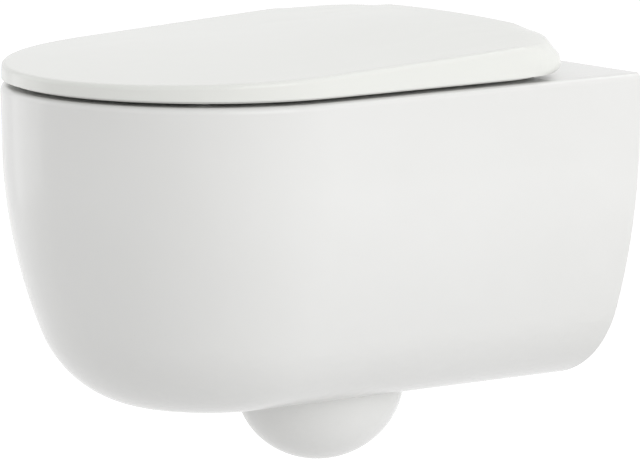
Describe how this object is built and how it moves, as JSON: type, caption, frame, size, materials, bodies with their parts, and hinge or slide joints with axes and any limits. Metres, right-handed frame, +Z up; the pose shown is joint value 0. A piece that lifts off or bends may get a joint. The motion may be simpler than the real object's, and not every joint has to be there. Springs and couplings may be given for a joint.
{
  "type": "wall hung toilet",
  "caption": "Wall hung toilet with a smooth rounded ceramic pan, hidden wall fixings, a slim soft-close seat and a wrap-over lid.",
  "frame": {"origin": "midway between the two wall fixing holes, on the wall plane", "axes": "+Y into the wall, so the nose of the pan points to -Y; +Z up; +X to the right of someone who faces the wall"},
  "size_m": [0.3696, 0.5328, 0.3932],
  "materials": {
    "glaze": "gloss white glaze",
    "lid_plastic": "gloss white moulded thermoset",
    "seat_plastic": "gloss white moulded thermoset",
    "hinge_metal": "polished chrome plate on die casting",
    "fixing_steel": "stainless steel",
    "soft_rubber": "pale grey rubber",
    "nylon": "natural nylon",
    "damper_plastic": "grey moulded plastic"
  },
  "bodies": {
    "pan_body": {"pan": "glaze", "right_hinge_post": "hinge_metal", "right_rosette": "hinge_metal", "right_gasket": "soft_rubber", "right_stud": "fixing_steel", "right_expansion_plug": "soft_rubber", "right_cone_nut": "fixing_steel", "right_hinge_pin": "fixing_steel", "right_fixing_block": "fixing_steel", "right_clamp_screw": "fixing_steel", "left_hinge_post": "hinge_metal", "left_rosette": "hinge_metal", "left_gasket": "soft_rubber", "left_stud": "fixing_steel", "left_expansion_plug": "soft_rubber", "left_cone_nut": "fixing_steel", "left_hinge_pin": "fixing_steel", "left_fixing_block": "fixing_steel", "left_clamp_screw": "fixing_steel"},
    "seat_body": {"seat_ring": "seat_plastic", "seat_bumpers": "soft_rubber", "seat_damper": "damper_plastic", "seat_bushing": "nylon"},
    "lid_body": {"lid": "lid_plastic", "lid_bumpers": "soft_rubber", "lid_damper": "damper_plastic", "lid_bushing": "nylon"}
  },
  "joints": [
    {"name": "seat_lift", "type": "hinge", "parent": "pan_body", "child": "seat_body", "pos_m": [0, -0.052, 0.0995], "axis": [-1, 0, 0], "range_deg": [0, 92]},
    {"name": "lid_lift", "type": "hinge", "parent": "seat_body", "child": "lid_body", "pos_m": [0, -0.052, 0.0995], "axis": [-1, 0, 0], "range_deg": [0, 93]}
  ]
}
